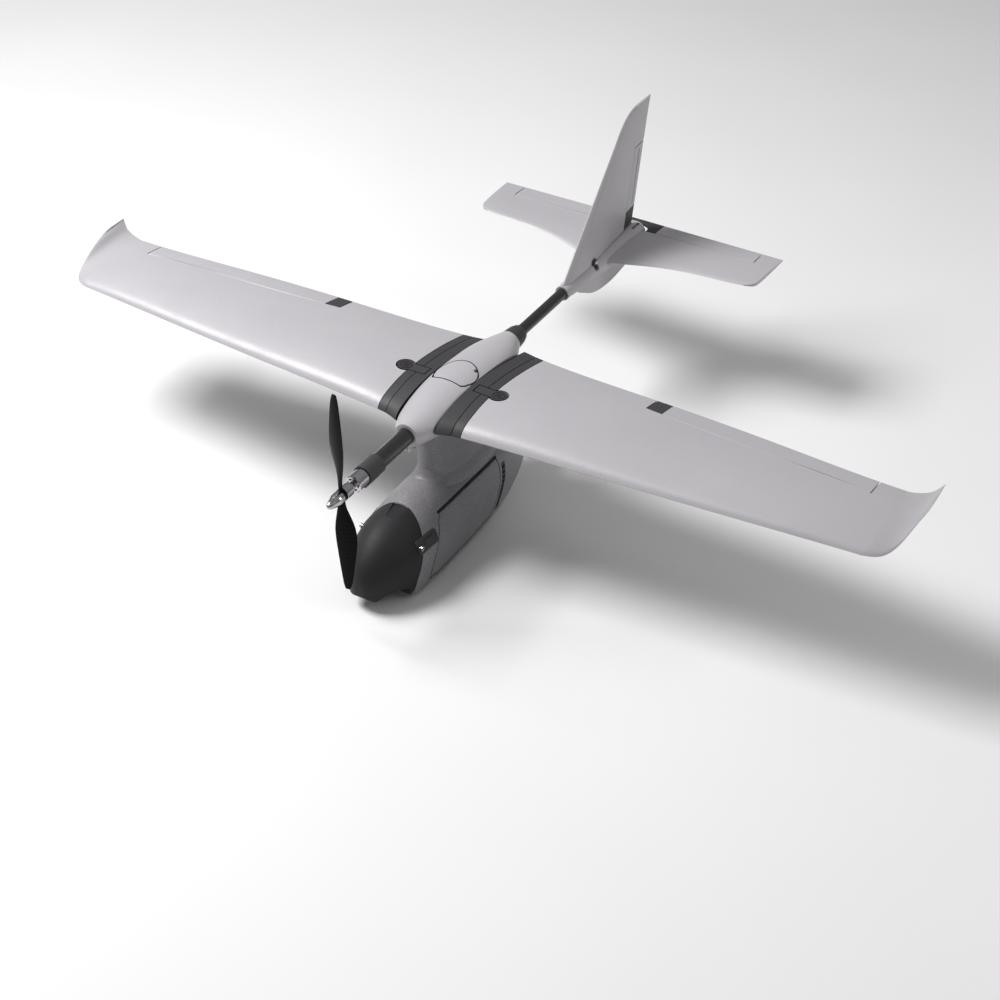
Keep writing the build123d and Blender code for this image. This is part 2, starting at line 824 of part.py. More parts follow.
# water line, spread of the sides, of the front end and of the rear end
pylon_flare = (
    (-108.0, 0.0, 0.0, 0.0),
    (-115.0, 0.4, 0.8, 0.2),
    (-121.0, 1.2, 3.0, 0.8),
    (-127.0, 2.8, 8.0, 1.8),
    (-133.0, 5.4, 16.0, 4.5),
    (-141.0, 9.4, 20.0, 12.0),
    (-149.0, 12.6, 20.0, 19.0),
    (-157.0, 14.0, 20.0, 20.0),
    (-164.0, 14.0, 20.0, 20.0),
)


def pylon_ring(water, side_spread, front_spread, back_spread):
    """The pylon's outline at a water line, spread outward by its flare."""
    last = len(pylon_outline) - 1
    ring = []
    for index, (x, station) in enumerate(pylon_outline):
        before = pylon_outline[max(index - 1, 0)]
        after = pylon_outline[min(index + 1, last)]
        outward = Vector(after[1] - before[1], before[0] - after[0])
        if index in (0, last):
            outward = Vector(0, station - 100)
        outward = outward.normalized()
        end_spread = front_spread if outward.Y < 0 else back_spread
        spread = side_spread * outward.X ** 2 + end_spread * (1 - outward.X ** 2)
        ring.append((x + spread * outward.X, station + spread * outward.Y))
    ring += [(-x, station) for x, station in reversed(ring[1:-1])]
    with BuildSketch(plan(water)) as section:
        with BuildLine():
            Spline(*ring, periodic=True)
        make_face()
    return section.sketch


with BuildPart() as pylon_column:
    add(pylon_ring(*pylon_flare[0]))
    extrude(amount=-pylon_flare[0][0] - 5)
    add(center_outer.part, mode=Mode.SUBTRACT)
    add(center_body.part, mode=Mode.SUBTRACT)

with BuildPart() as pylon:
    add(pylon_column.part)
    loft([pylon_ring(*row) for row in pylon_flare])

with BuildPart() as pod_body:
    add(pod_outer)
    add(pylon.part)

with BuildPart() as pod_shell:
    add(pod_body.part)
    add(pod_inner, mode=Mode.SUBTRACT)
    with BuildSketch(plan(-190)):
        with Locations((0, 120)):
            RectangleRounded(30, 60, 8)
    extrude(amount=180, mode=Mode.SUBTRACT)
    add(nose_half, mode=Mode.SUBTRACT)
    for cutter in (panel_opening(), vent_column(vent_width + 0.4), plate_hole):
        add(cutter, mode=Mode.SUBTRACT)
        mirror(cutter, about=Plane.YZ, mode=Mode.SUBTRACT)
write(pod_shell.part, "pod_shell")

with BuildPart() as side_panel:
    add(pod_outer)
    add(pod_inner, mode=Mode.SUBTRACT)
    add(panel_column(0), mode=Mode.INTERSECT)
write_pair(side_panel.part, "side_panel")

with BuildPart() as panel_seal:
    add(pod_inner)
    add(pod_liner, mode=Mode.SUBTRACT)
    add(panel_column(7), mode=Mode.INTERSECT)
    add(panel_column(-6), mode=Mode.SUBTRACT)
    add(vent_column(vent_width + 0.4), mode=Mode.SUBTRACT)
write(both_sides(panel_seal.part), "side_panel_seals")

with BuildPart() as vent_grille:
    add(pod_outer)
    add(pod_inner, mode=Mode.SUBTRACT)
    add(vent_column(vent_width), mode=Mode.INTERSECT)
    for row in range(vent_rows):
        start = (row + 0.62) / (vent_rows + 0.6)
        end = (row + 1.12) / (vent_rows + 0.6)
        add(vent_column(vent_width - 3, start, end), mode=Mode.SUBTRACT)
write(both_sides(vent_grille.part), "vent_grilles")

chin_center = (-166.0, -290.0)
chin_radius = 41.0
scoop_length = 42.0

# Cooling scoop in the top of the nose cover: a ramp that sinks towards the seam.
with BuildPart() as scoop_column:
    with BuildSketch(plan(-165)):
        with BuildLine():
            Polyline((-10, -scoop_length - 62), (10, -scoop_length - 62), (17.5, -55), (-17.5, -55),
                     close=True)
        make_face()
    extrude(amount=60)
with BuildPart() as nose_cover:
    add(pod_outer)
    add(pod_inner, mode=Mode.SUBTRACT)
    add(nose_space, mode=Mode.INTERSECT)
    with BuildSketch(side(-80)):
        with Locations(chin_center):
            Circle(chin_radius)
    extrude(amount=160, mode=Mode.SUBTRACT)
    add(scoop_column.part, mode=Mode.SUBTRACT)
    add(plate_hole, mode=Mode.SUBTRACT)
    mirror(plate_hole, about=Plane.YZ, mode=Mode.SUBTRACT)
write(nose_cover.part, "nose_cover")

with BuildPart() as nose_scoop:
    add(pod_outer)
    add(pod_solid(6), mode=Mode.SUBTRACT)
    add(scoop_column.part, mode=Mode.INTERSECT)
    add(nose_space, mode=Mode.INTERSECT)
    with BuildSketch(side(-20)):
        with BuildLine():
            Polyline((-scoop_length - 61, -144.0), (-50, -142.0), (-50, -120),
                     (-scoop_length - 61, -120), close=True)
        make_face()
    extrude(amount=40, mode=Mode.SUBTRACT)
write(nose_scoop.part, "nose_scoop")

with BuildPart() as nose_bulkhead:
    add(pod_inner)
    add(nose_half, mode=Mode.SUBTRACT)
    add(ahead_of_seam(-4), mode=Mode.INTERSECT)
    notch = latch_column(latch_plate_center, latch_plate_size[0], latch_plate_size[1], 6, 52.0)
    add(notch, mode=Mode.SUBTRACT)
    mirror(notch, about=Plane.YZ, mode=Mode.SUBTRACT)
    with BuildSketch(plan(-190)):
        with Locations((0, -90)):
            RectangleRounded(50, 20, 8)
    extrude(amount=20, mode=Mode.SUBTRACT)
write(nose_bulkhead.part, "nose_bulkhead")

pod_proud = pod_solid(-1.4)
pod_button = pod_solid(-2.4)
with BuildPart() as latch_plate:
    add(pod_proud)
    add(pod_inner, mode=Mode.SUBTRACT)
    add(latch_column(latch_plate_center, *latch_plate_size, 6), mode=Mode.INTERSECT)
    add(button_hole, mode=Mode.SUBTRACT)
    with BuildSketch(side(40)):
        with Locations(latch_screw_center):
            Circle(3)
    extrude(amount=60, mode=Mode.SUBTRACT)
write(both_sides(latch_plate.part), "nose_latch_plates")

with BuildPart() as latch_button:
    add(pod_button)
    add(pod_solid(1.2), mode=Mode.SUBTRACT)
    add(latch_column(latch_button_center, *latch_button_size, 6.4), mode=Mode.INTERSECT)
write_pair(latch_button.part, "nose_latch_button")

with BuildPart() as latch_screw:
    with BuildSketch(side(58)):
        with Locations(latch_screw_center):
            Circle(3)
    extrude(amount=8)
    with BuildSketch(side(66)):
        with Locations(latch_screw_center):
            Circle(4.6)
            RegularPolygon(2.2, 6, mode=Mode.SUBTRACT)
    extrude(amount=3)
write(both_sides(latch_screw.part), "nose_latch_screws")

skid_half_width = 34.0
with BuildPart() as belly_skid:
    with BuildSketch(plan(origin_water)):
        with Locations((0, 36)):
            RectangleRounded(2 * skid_half_width, 300, 14)
    extrude(amount=16)
    chamfer(belly_skid.faces().sort_by(Axis.Z)[0].edges(), 1.5)
    add(pod_outer, mode=Mode.SUBTRACT)
    with BuildSketch(plan(-270)):
        Rectangle(400, 1200)
    extrude(amount=60, mode=Mode.SUBTRACT)
write(belly_skid.part, "belly_skid")

# ---------------------------------------------------------------- inside the pod
with BuildPart() as battery:
    with BuildSketch(plan(-282)):
        with Locations((0, 10)):
            RectangleRounded(74, 168, 4)
    extrude(amount=50)
    fillet(battery.edges().filter_by(Axis.Y), 3)
write(battery.part, "battery")

with BuildPart() as flight_controller:
    with BuildSketch(plan(-232)):
        with Locations((0, 10)):
            RectangleRounded(52, 78, 5)
    extrude(amount=17)
    fillet(flight_controller.faces().sort_by(Axis.Z)[-1].edges(), 2)
write(flight_controller.part, "flight_controller")

with BuildPart() as motor_controller:
    with BuildSketch(plan(-232)):
        with Locations((0, 74)):
            RectangleRounded(30, 40, 2)
    extrude(amount=10)
write(motor_controller.part, "motor_controller")

camera_center_station = -161.0
with BuildPart() as camera_body:
    with BuildSketch(plan(-272)):
        with Locations((0, camera_center_station + 15)):
            RectangleRounded(50, 70, 6)
    extrude(amount=34)
    fillet(camera_body.faces().sort_by(Axis.Y)[0].edges().sort_by(Axis.Z)[-1], 6)
    add(nose_half, mode=Mode.INTERSECT)
    with BuildSketch(plan(-280)):
        with Locations((0, camera_center_station)):
            Circle(17)
            Circle(12, mode=Mode.SUBTRACT)
    extrude(amount=8)
write(camera_body.part, "camera_body")

with BuildPart() as camera_lens:
    with BuildSketch(plan(-278)):
        with Locations((0, camera_center_station)):
            Circle(12)
    extrude(amount=6)
    fillet(camera_lens.faces().sort_by(Axis.Z)[0].edges(), 1.5)
write(camera_lens.part, "camera_lens")

# ---------------------------------------------------------------- tail
tail_sections = (
    (tail_start, 15.5, 15.5, -15.5),
    (565.0, 17.0, 17.0, -18.5),
    (600.0, 19.5, 19.0, -22.5),
    (680.0, 24.5, 21.5, -29.0),
    (760.0, 28.5, 21.0, -30.5),
    (815.0, 29.5, 20.0, -28.0),
    (838.0, 27.0, 17.5, -23.0),
    (852.0, 17.0, 10.0, -13.0),
)
# water line, station of the leading edge and of the trailing edge, thickness
fin_sections = (
    (4.0, 524.0, 821.0, 0.075),
    (120.0, 632.0, 848.0, 0.080),
    (225.0, 731.0, 871.5, 0.080),
    (258.0, 761.0, 879.5, 0.075),
    (276.0, 784.0, 884.5, 0.065),
    (287.0, 815.0, 888.0, 0.055),
)
# x, station of the leading edge and of the trailing edge, thickness
tailplane_water = 4.0
tailplane_sections = (
    (0.0, 668.0, 872.0, 0.080),
    (50.0, 687.0, 871.5, 0.082),
    (96.0, 705.0, 871.0, 0.085),
    (263.0, 733.0, 870.0, 0.080),
    (334.0, 748.0, 869.0, 0.070),
)
tailplane_tip = 330.0
rudder_foot = (0.0, 787.0, 22.0)
rudder_head = (0.0, 824.0, 194.0)
rudder_split = 60.0
rudder_radius = 4.1
elevator_hinge = 828.8
elevator_radius = 4.0
elevator_outer = 282.6
joiner_outer = 56.0
joiner_inner = 34.0
joiner_back = 856.5

fin_outlines = [foil_section(plan(z), (0, nose), (0, tail), thick) for z, nose, tail, thick in fin_sections]
with BuildPart() as fin_block:
    loft(fin_outlines[:3], ruled=True)
    loft(fin_outlines[2:])

with BuildPart() as tailplane_half:
    loft([foil_section(side(x), (nose, tailplane_water), (tail, tailplane_water), thick)
          for x, nose, tail, thick in tailplane_sections])
    with BuildSketch(plan(-40)):
        with BuildLine():
            Polyline((308, 742), (-1, 600), (-1, 900), (tailplane_tip, 900), (tailplane_tip, 870),
                     (323, 762))
            RadiusArc((308, 742), (323, 762), -22)
        make_face()
    extrude(amount=80, mode=Mode.INTERSECT)

with BuildPart() as tailplane_block:
    add(tailplane_half.part)
    mirror(tailplane_half.part, about=Plane.YZ)


def rudder_zone(grow, foot, head):
    """Space of the rudder between two water lines."""
    lean = (rudder_head[1] - rudder_foot[1]) / (rudder_head[2] - rudder_foot[2])
    foot_y = rudder_foot[1] + lean * (foot - rudder_foot[2])
    head_y = rudder_foot[1] + lean * (head - rudder_foot[2])
    with BuildPart() as zone:
        with BuildSketch(side(-30)):
            with BuildLine():
                Polyline((foot_y, foot), (head_y, head), (940, head), (940, foot), close=True)
            make_face()
        extrude(amount=60)
        for level, station in ((foot, foot_y), (head, head_y)):
            with BuildSketch(plan(level)):
                with Locations((0, station)):
                    Circle(rudder_radius + grow)
        loft()
    return zone.part


def elevator_zone(grow, start, end):
    """Space of the elevator between two butt lines."""
    with BuildPart() as zone:
        with BuildSketch(side(start)):
            with Locations((elevator_hinge + 50, tailplane_water)):
                Rectangle(100, 60)
            with Locations((elevator_hinge, tailplane_water)):
                Circle(elevator_radius + grow)
        extrude(amount=end - start)
    return zone.part


rudder_axis_foot = axis_plane(rudder_foot, rudder_head)
rudder_axis_head = axis_plane(rudder_head, rudder_foot)
rudder_pin_radius = 1.2

with BuildPart() as fin:
    add(fin_block.part)
    add(rudder_zone(skin_gap, rudder_foot[2] - 0.4, rudder_head[2] + end_gap), mode=Mode.SUBTRACT)
    with BuildSketch(rudder_axis_head):
        Circle(rudder_pin_radius)
    extrude(amount=-12, mode=Mode.SUBTRACT)

with BuildPart() as servo_bays:
    with Locations(at(0, elevator_hinge - 2, tailplane_water)):
        Box(36, 24, 12)
    with Locations(at(0, 776, -4)):
        Box(13, 26, 22)

with BuildPart() as rudder_shaft_hole:
    with BuildSketch(rudder_axis_foot.offset(4)):
        Circle(servo_shaft_radius + 0.4)
    extrude(amount=-24)

# Release button in a recess beside the fin's root, and a slot in the cone over the elevator's arm.
port_center = (641.0, 15.0)
port_size = (14.0, 24.0)
port_floor = 12.2
port_plate = 2.2
port_button_center = (643.0, 19.0)
port_button_radius = 3.2
slot_center = (12.0, 822.0)
slot_size = (7.0, 34.0)
slot_floor = 12.0


def port_column(shrink, start, length):
    with BuildPart() as column:
        with BuildSketch(side(start)):
            with Locations(port_center):
                RectangleRounded(port_size[0] - shrink, port_size[1] - shrink, 4)
        extrude(amount=length)
    return column.part


with BuildPart() as tail_port:
    add(port_column(0.2, port_floor, port_plate))
    with BuildSketch(side(port_floor)):
        with Locations(port_button_center):
            Circle(port_button_radius + fit_gap)
    extrude(amount=port_plate, mode=Mode.SUBTRACT)
write(tail_port.part, "tail_port")

with BuildPart() as tail_button:
    with BuildSketch(side(port_floor + 1.6)):
        with Locations(port_button_center):
            Circle(port_button_radius)
    extrude(amount=4)
    chamfer(tail_button.faces().sort_by(Axis.X)[-1].edges(), 0.5)
write(tail_button.part, "tail_button")

with BuildPart() as tail_body:
    loft([dome_section(*row) for row in tail_sections])
    with BuildSketch(side(-4)):
        with BuildLine():
            Polyline((590, -10), (598, -32), (642, -56))
            Spline((642, -56), (690, -70), (741, -73), (795, -67))
            Polyline((795, -67), (812, -10), (590, -10))
        make_face()
    extrude(amount=8)
    add(fin.part)
    with BuildSketch(cross(tail_start)):
        Circle(rear_boom_radius)
    extrude(amount=-109, mode=Mode.SUBTRACT)
    add(rudder_zone(skin_gap, rudder_foot[2] - 0.4, rudder_head[2] + end_gap), mode=Mode.SUBTRACT)
    add(tailplane_block.part, mode=Mode.SUBTRACT)
    add(elevator_zone(1.0, -joiner_outer, -joiner_inner + 2), mode=Mode.SUBTRACT)
    add(elevator_zone(1.0, joiner_inner - 2, joiner_outer), mode=Mode.SUBTRACT)
    add(servo_bays.part, mode=Mode.SUBTRACT)
    with BuildSketch(side(-joiner_inner)):
        with Locations((elevator_hinge, tailplane_water)):
            Circle(servo_shaft_radius + fit_gap)
    extrude(amount=2 * joiner_inner, mode=Mode.SUBTRACT)
    add(rudder_shaft_hole.part, mode=Mode.SUBTRACT)
    add(port_column(0, port_floor, 40), mode=Mode.SUBTRACT)
    with BuildSketch(plan(slot_floor)):
        with Locations(slot_center):
            RectangleRounded(*slot_size, 3)
    extrude(amount=20, mode=Mode.SUBTRACT)
write(tail_body.part, "tail_body")

with BuildPart() as tailplane:
    add(tailplane_block.part)
    add(elevator_zone(skin_gap, -elevator_outer - end_gap, elevator_outer + end_gap), mode=Mode.SUBTRACT)
    with BuildSketch(side(-elevator_outer - 12)):
        with Locations((elevator_hinge, tailplane_water)):
            Circle(1.5)
    extrude(amount=2 * elevator_outer + 24, mode=Mode.SUBTRACT)
    add(servo_bays.part, mode=Mode.SUBTRACT)
    add(rudder_shaft_hole.part, mode=Mode.SUBTRACT)
write(tailplane.part, "tailplane")

with BuildPart() as tail_servos:
    add(servo_bays.part)
    with BuildSketch(side(-40)):
        with Locations((elevator_hinge, tailplane_water)):
            Circle(servo_shaft_radius + fit_gap)
    extrude(amount=80, mode=Mode.SUBTRACT)
    with BuildSketch(rudder_axis_foot):
        Circle(servo_shaft_radius + fit_gap)
    extrude(amount=-22, mode=Mode.SUBTRACT)
write(tail_servos.part, "tail_servos")

with BuildPart() as elevator:
    add(tailplane_half.part)
    add(elevator_zone(-0.1, joiner_outer + 0.4, elevator_outer), mode=Mode.INTERSECT)
    with BuildSketch(side(elevator_outer - 13)):
        with Locations((elevator_hinge, tailplane_water)):
            Circle(1.5 + fit_gap)
    extrude(amount=20, mode=Mode.SUBTRACT)
write_pair(elevator.part, "elevator")

with BuildPart() as elevator_joiner:
    add(tailplane_block.part)
    add(elevator_zone(-0.1, -joiner_outer, joiner_outer), mode=Mode.INTERSECT)
    with BuildSketch(plan(-30)):
        with BuildLine():
            Polyline((-joiner_inner, 838), (-joiner_inner, 790), (joiner_inner, 790), (joiner_inner, 838))
            Spline((joiner_inner, 838), (joiner_inner - 5, 847), (0, joiner_back),
                   (5 - joiner_inner, 847), (-joiner_inner, 838))
        make_face()
    extrude(amount=60, mode=Mode.SUBTRACT)
    for end in (-joiner_inner - 3, joiner_inner - 21):
        with BuildSketch(side(end)):
            with Locations((elevator_hinge, tailplane_water)):
                Circle(servo_shaft_radius)
        extrude(amount=24)
write(elevator_joiner.part, "elevator_joiner")

groove_foot = (820.0, 68.0)
groove_head = (843.0, 184.0)
groove_half = 2.0
groove_floor = 1.5

with BuildPart() as rudder:
    add(fin_block.part)
    add(rudder_zone(-0.1, rudder_split + 0.3, rudder_head[2]), mode=Mode.INTERSECT)
    with BuildSketch(rudder_axis_head):
        Circle(rudder_pin_radius + fit_gap)
    extrude(amount=13, both=True, mode=Mode.SUBTRACT)
    for flip in (-1, 1):
        with BuildSketch(side(flip * groove_floor)):
            with BuildLine():
                Polyline((groove_foot[0] - groove_half, groove_foot[1]),
                         (groove_foot[0] + groove_half, groove_foot[1]),
                         (groove_head[0] + groove_half, groove_head[1]),
                         (groove_head[0] - groove_half, groove_head[1]), close=True)
            make_face()
        extrude(amount=flip * 10, mode=Mode.SUBTRACT)
write(rudder.part, "rudder")

with BuildPart() as rudder_drive:
    add(fin_block.part)
    add(rudder_zone(-0.1, rudder_foot[2] + 1, rudder_split), mode=Mode.INTERSECT)
    with BuildSketch(rudder_axis_foot.offset(4)):
        Circle(servo_shaft_radius)
    extrude(amount=-23)
write(rudder_drive.part, "rudder_drive")

with BuildPart() as hinge_pins:
    add(aileron_pin.part)
    add(latch_pin.part)
    mirror(aileron_pin.part, about=Plane.YZ)
    mirror(latch_pin.part, about=Plane.YZ)
    for end in (-elevator_outer - 12, elevator_outer - 12):
        with BuildSketch(side(end)):
            with Locations((elevator_hinge, tailplane_water)):
                Circle(1.5)
        extrude(amount=24)
    with BuildSketch(rudder_axis_head):
        Circle(rudder_pin_radius)
    extrude(amount=12, both=True)
write(hinge_pins.part, "hinge_pins")

with BuildPart() as clamp_screws:
    for station, water, half in ((boom_mouth + 12, -29, 7), (center_tail + 17, -24, 7.5)):
        with BuildSketch(side(half)):
            with Locations((station, water)):
                Circle(2.8)
                RegularPolygon(1.5, 6, mode=Mode.SUBTRACT)
        extrude(amount=2.6)
write(clamp_screws.part, "clamp_screws")
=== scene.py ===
"""Looks of a fixed wing survey drone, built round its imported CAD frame.

Metres, +X to the left wing tip, nose to -Y, +Z up.
"""

import json
import math

import bpy
from mathutils import Matrix, Vector
from mathutils.bvhtree import BVHTree


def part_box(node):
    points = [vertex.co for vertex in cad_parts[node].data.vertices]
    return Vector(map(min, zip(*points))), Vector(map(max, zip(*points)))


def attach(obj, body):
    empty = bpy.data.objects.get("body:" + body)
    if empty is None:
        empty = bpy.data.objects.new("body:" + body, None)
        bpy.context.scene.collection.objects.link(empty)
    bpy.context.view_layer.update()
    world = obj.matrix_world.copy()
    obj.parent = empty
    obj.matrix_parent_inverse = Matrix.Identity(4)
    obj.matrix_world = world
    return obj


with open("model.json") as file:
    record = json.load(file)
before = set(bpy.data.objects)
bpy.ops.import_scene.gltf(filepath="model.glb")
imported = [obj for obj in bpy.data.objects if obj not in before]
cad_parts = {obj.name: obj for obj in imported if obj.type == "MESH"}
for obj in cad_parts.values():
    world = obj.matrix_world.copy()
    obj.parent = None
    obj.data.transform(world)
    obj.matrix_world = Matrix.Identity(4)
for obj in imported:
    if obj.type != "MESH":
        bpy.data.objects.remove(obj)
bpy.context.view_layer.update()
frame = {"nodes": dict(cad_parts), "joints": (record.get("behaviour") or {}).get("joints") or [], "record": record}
nodes = frame["nodes"]
spin_axis = next(joint for joint in frame["joints"] if joint["name"] == "propeller_spin")["pos_m"]
motor_height = spin_axis[2]


# ---------------------------------------------------------------- shader node helpers

class Shader:
    """A material under construction; every call adds one node and returns its output."""

    def __init__(self, name, **fixed):
        self.material = bpy.data.materials.new(name)
        self.material.use_nodes = True
        self.tree = self.material.node_tree
        self.surface = self.tree.nodes["Principled BSDF"]
        self.position = self.node("ShaderNodeTexCoord").outputs["Object"]
        for socket, value in fixed.items():
            self.surface.inputs[socket.replace("_", " ")].default_value = value

    def node(self, kind, **settings):
        made = self.tree.nodes.new(kind)
        for key, value in settings.items():
            setattr(made, key, value)
        return made

    def feed(self, made, inputs):
        for key, value in inputs.items():
            if isinstance(value, bpy.types.NodeSocket):
                self.tree.links.new(value, made.inputs[key])
            elif value is not None:
                made.inputs[key].default_value = value
        return made

    def math(self, operation, first, second=None, third=None):
        made = self.node("ShaderNodeMath", operation=operation)
        return self.feed(made, {0: first, 1: second, 2: third}).outputs[0]

    def split(self, vector):
        made = self.feed(self.node("ShaderNodeSeparateXYZ"), {0: vector})
        return made.outputs[0], made.outputs[1], made.outputs[2]

    def join(self, x, y, z):
        return self.feed(self.node("ShaderNodeCombineXYZ"), {0: x, 1: y, 2: z}).outputs[0]

    def noise(self, scale, detail=3.0, roughness=0.55, vector=None, distortion=0.0):
        made = self.node("ShaderNodeTexNoise")
        self.feed(made, {"Vector": vector or self.position, "Scale": scale, "Detail": detail,
                         "Roughness": roughness, "Distortion": distortion})
        return made.outputs[0]

    def cells(self, scale):
        made = self.node("ShaderNodeTexVoronoi")
        self.feed(made, {"Vector": self.position, "Scale": scale})
        return made.outputs["Distance"]

    def fit(self, value, low, high, to_low, to_high):
        made = self.node("ShaderNodeMapRange")
        self.feed(made, {"Value": value, "From Min": low, "From Max": high,
                         "To Min": to_low, "To Max": to_high})
        return made.outputs["Result"]

    def mix(self, factor, first, second):
        made = self.node("ShaderNodeMix", data_type="RGBA")
        return self.feed(made, {0: factor, 6: first, 7: second}).outputs[2]

    def bump(self, height, distance, strength=1.0):
        made = self.node("ShaderNodeBump")
        self.feed(made, {"Height": height, "Distance": distance, "Strength": strength})
        return made.outputs[0]

    def finish(self, color=None, roughness=None, normal=None):
        self.feed(self.surface, {"Base Color": color, "Roughness": roughness, "Normal": normal})
        return self.material


green_share = 0.962
blue_share = 1.005


def grey(level, blue=0.0):
    """A grey with the airframe's faint violet cast."""
    return (level, level * green_share, level * blue_share + blue, 1.0)


# ---------------------------------------------------------------- materials

def worn_and_highlit_edges(shader, width):
    """One on convex edges and zero elsewhere, from how far a rounded normal leans off the true one; it lightens
    edges for wear and as a painted highlight.
    """
    rounded = shader.node("ShaderNodeBevel", samples=4)
    rounded.inputs["Radius"].default_value = width
    flat = shader.node("ShaderNodeNewGeometry")
    lean = shader.node("ShaderNodeVectorMath", operation="DOT_PRODUCT")
    shader.feed(lean, {0: rounded.outputs[0], 1: flat.outputs["Normal"]})
    return shader.fit(lean.outputs["Value"], 0.75, 0.99, 1.0, 0.0)


# Painted shade: shut lines, slots and corners are darkened towards shadow_level where shade would fall.
shadow_reach = 0.005    # how far across a shut line its dark look is gathered
shadow_share = 0.94
shadow_level = 0.004


def painted_crevice_shade(shader, reach):
    """Mask for painted shade: one deep in shut lines, slots and corners, zero in the open."""
    shelter = shader.node("ShaderNodeAmbientOcclusion", samples=6, only_local=False)
    shelter.inputs["Distance"].default_value = reach
    return shader.fit(shelter.outputs["AO"], 0.35, 0.92, 1.0, 0.0)


def moulded(name, level, speckle, grain_scale, grain_depth, roughness, edge_level, blue=0.0,
            edge_width=0.0006, edge_share=0.35, sand=0.0, **fixed):
    """Painted or moulded plastic: tonal drift, speckle, grained bump, worn edges lightened with a painted
    highlight, painted shade in shut lines and corners.
    """
    shader = Shader(name, **fixed)
    drift = shader.noise(3.1, 4.0, 0.6)
    pigment = shader.noise(2600.0, 2.0, 0.7)
    fleck = shader.cells(1500.0)
    tone = shader.math("ADD", shader.fit(drift, 0.3, 0.7, -0.05, 0.05),
                       shader.fit(pigment, 0.2, 0.8, -speckle, speckle))
    tone = shader.math("ADD", tone, shader.fit(fleck, 0.0, 0.35, -speckle * 0.7, 0.0))
    base = shader.mix(shader.math("ADD", tone, 0.5), grey(level * 0.62, blue), grey(level * 1.38, blue))
    # Convex edges lightened: partly wear, partly a painted highlight along panel rims and seams.
    rubbed_and_highlit = shader.math("MULTIPLY", worn_and_highlit_edges(shader, edge_width), edge_share)
    base = shader.mix(rubbed_and_highlit, base, grey(edge_level, blue))
    if sand:
        coarse = shader.noise(470.0, 1.0, 0.4)
        base = shader.mix(shader.fit(coarse, 0.30, 0.70, 0.0, sand), base, grey(level * 2.2, blue))
    # Painted shade: shut lines, slots and corners darkened towards near black.
    base = shader.mix(shader.math("MULTIPLY", painted_crevice_shade(shader, shadow_reach), shadow_share), base,
                      grey(shadow_level))
    grain = shader.noise(grain_scale, 3.0, 0.6)
    orange_peel = shader.noise(grain_scale * 0.16, 2.0, 0.5)
    height = shader.math("ADD", grain, shader.math("MULTIPLY", orange_peel, 0.8))
    smudge = shader.noise(23.0, 4.0, 0.65, distortion=0.4)
    rough = shader.math("ADD", shader.fit(smudge, 0.3, 0.7, roughness - 0.05, roughness + 0.06),
                        shader.fit(grain, 0.3, 0.7, -0.02, 0.02))
    return shader.finish(base, rough, shader.bump(height, grain_depth))


tube_radius = 0.014
lay_angle = math.radians(45.0)
fibres_per_tow = 9.0


def twill(name, tow, flat, level, **fixed):
    """Two by two twill of carbon tows in clear resin, wrapped round the boom line or laid flat in XZ."""
    shader = Shader(name, **fixed)
    x, y, z = shader.split(shader.position)
    z = shader.math("SUBTRACT", z, motor_height)
    if flat:
        along, across = x, z
    else:
        along, across = y, shader.math("MULTIPLY", shader.math("ARCTAN2", z, x), tube_radius)
    cosine, sine = math.cos(lay_angle), math.sin(lay_angle)
    u = shader.math("MULTIPLY", shader.math("ADD", shader.math("MULTIPLY", along, cosine),
                                            shader.math("MULTIPLY", across, sine)), 1 / tow)
    v = shader.math("MULTIPLY", shader.math("SUBTRACT", shader.math("MULTIPLY", across, cosine),
                                            shader.math("MULTIPLY", along, sine)), 1 / tow)
    step = shader.math("ADD", shader.math("FLOOR", u), shader.math("FLOOR", v))
    warp_on_top = shader.math("LESS_THAN", shader.math("FLOORED_MODULO", step, 4.0), 2.0)
    across_warp = shader.math("SUBTRACT", shader.math("FRACT", u), 0.5)
    across_weft = shader.math("SUBTRACT", shader.math("FRACT", v), 0.5)
    picked = shader.math("ADD", shader.math("MULTIPLY", warp_on_top, across_warp),
                         shader.math("MULTIPLY", shader.math("SUBTRACT", 1.0, warp_on_top), across_weft))
    crown = shader.math("SUBTRACT", 0.25, shader.math("MULTIPLY", picked, picked))
    strands = shader.join(shader.math("MULTIPLY", u, fibres_per_tow),
                          shader.math("MULTIPLY", v, fibres_per_tow), 0.0)
    fibre = shader.noise(1.0, 2.0, 0.6, strands)
    # Painted sheen: warp tows and tow crowns are painted lighter; the fibre noise is the fibres' own tone.
    shade = shader.math("ADD", shader.math("MULTIPLY", warp_on_top, 0.42),
                        shader.math("ADD", shader.fit(fibre, 0.3, 0.7, 0.0, 0.25),
                                    shader.math("MULTIPLY", crown, 1.2)))
    color = shader.mix(shade, grey(level * 0.35), grey(level * 1.9))
    rough = shader.fit(fibre, 0.3, 0.7, 0.30, 0.42)
    return shader.finish(color, rough, shader.bump(crown, 0.00012, 0.7))


def turned_metal(name, level, roughness, ring_scale, ring_depth):
    """Lathe-turned metal: rings round the boom line, faint haze and fine scratches."""
    shader = Shader(name, Metallic=1.0)
    y = shader.split(shader.position)[1]
    rings = shader.noise(1.0, 2.0, 0.7, shader.join(0.0, shader.math("MULTIPLY", y, ring_scale), 0.0))
    haze = shader.noise(90.0, 4.0, 0.6)
    scratch = shader.noise(700.0, 2.0, 0.8, distortion=2.0)
    color = shader.mix(shader.fit(haze, 0.3, 0.7, 0.0, 1.0), grey(level * 0.9), grey(level, 0.012))
    rough = shader.math("ADD", shader.fit(rings, 0.3, 0.7, roughness * 0.7, roughness * 1.4),
                        shader.fit(scratch, 0.55, 0.75, 0.0, 0.06))
    return shader.finish(color, rough, shader.bump(rings, ring_depth))


wires_round = 220.0
slots_round = 12.0
lamination = (0.03, 0.03, 0.032, 1)
copper = (0.62, 0.26, 0.10, 1)


